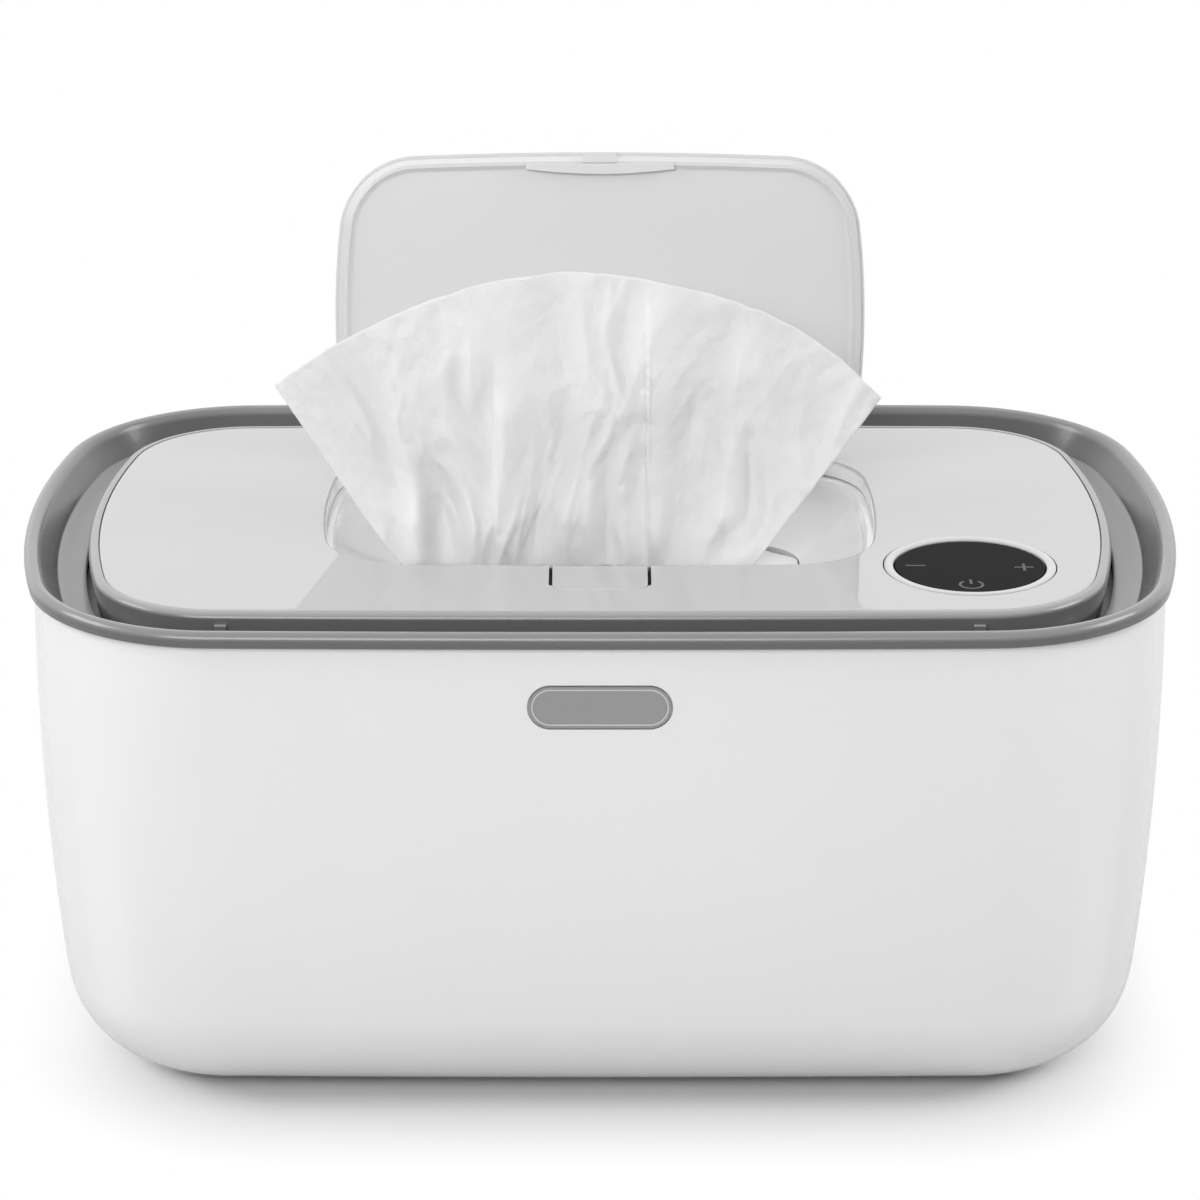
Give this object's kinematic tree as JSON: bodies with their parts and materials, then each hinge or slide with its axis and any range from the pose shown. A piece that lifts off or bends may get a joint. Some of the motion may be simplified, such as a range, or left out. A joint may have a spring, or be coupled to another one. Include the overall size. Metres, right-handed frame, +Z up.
{
  "type": "baby wipe warmer",
  "caption": "Rounded white heated wipe box with a grey rim, a hinged lid with a round touch panel and a raised flap, and one wipe pulled up through the oval slot.",
  "frame": {"origin": "on the surface that the feet stand on, under the middle of the rim", "axes": "+Z up, +X along the long side towards the touch panel, -Y out of the front with the plaque and the latch"},
  "size_m": [0.262, 0.162, 0.1876],
  "materials": {
    "white_gloss": "glossy white injection-moulded plastic",
    "white_satin": "satin off-white plastic",
    "grey_satin": "satin mid-grey plastic",
    "light_grey": "smooth light grey plastic",
    "black_glass": "polished black clear-coated panel",
    "silicone": "soft translucent silicone",
    "rubber": "matt grey rubber",
    "steel": "bright plated steel",
    "aluminium": "plain rolled aluminium",
    "film": "amber polyimide film",
    "foam": "closed-cell insulation",
    "board": "green circuit board",
    "black_plastic": "black moulded plastic",
    "cloth": "damp white non-woven cloth",
    "plaque": "satin grey, bare"
  },
  "bodies": {
    "base": {"outer_shell": "white_gloss", "front_plaque": "plaque", "rim_collar": "grey_satin", "wipe_tank": "white_satin", "base_plate": "grey_satin", "base_screw_1": "steel", "base_screw_2": "steel", "base_screw_3": "steel", "base_screw_4": "steel", "foot_1": "rubber", "foot_2": "rubber", "foot_3": "rubber", "foot_4": "rubber", "heat_spreader": "aluminium", "heater_film": "film", "insulation_pad": "foam", "temperature_sensor": "black_plastic", "thermal_cutoff": "steel", "power_board": "board", "board_capacitor": "black_plastic", "board_terminal": "white_satin", "power_inlet": "black_plastic", "inlet_nut": "steel", "inlet_lead": "black_plastic", "lid_lead_lower": "black_plastic"},
    "lid": {"lid_frame": "light_grey", "lid_cover": "white_gloss", "dispenser_insert": "white_gloss", "lid_pan": "white_satin", "lid_gasket": "silicone", "lid_screw_1": "steel", "lid_screw_2": "steel", "lid_screw_3": "steel", "lid_screw_4": "steel", "lid_hinge_pin_1": "steel", "lid_hinge_pin_2": "steel", "touch_lens": "black_glass", "panel_bezel": "light_grey", "panel_light_guide": "white_satin", "panel_board": "board", "lid_lead_upper": "black_plastic", "flap_hinge_pin": "steel", "flap_spring": "steel", "wipe_sheet": "cloth"},
    "latch": {"latch_tab": "white_gloss"},
    "flap": {"flap_shell": "white_gloss", "flap_liner": "white_satin", "flap_seal": "silicone", "flap_catch": "white_gloss"}
  },
  "joints": [
    {"name": "lid_hinge", "type": "hinge", "parent": "base", "child": "lid", "pos_m": [0, 0.0643, 0.1124], "axis": [-1, 0, 0], "range_deg": [0, 80]},
    {"name": "flap_hinge", "type": "hinge", "parent": "lid", "child": "flap", "pos_m": [0, 0.03971, 0.1152], "axis": [1, 0, 0], "range_deg": [0, 105], "stiffness_Nm_per_rad": 0.01, "springref_deg": -28.65, "deforming": ["wipe_sheet"]},
    {"name": "latch_press", "type": "hinge", "parent": "lid", "child": "latch", "pos_m": [0, -0.0496, 0.1158], "axis": [-1, 0, 0], "range_deg": [0, 6.5], "stiffness_Nm_per_rad": 0.37}
  ]
}
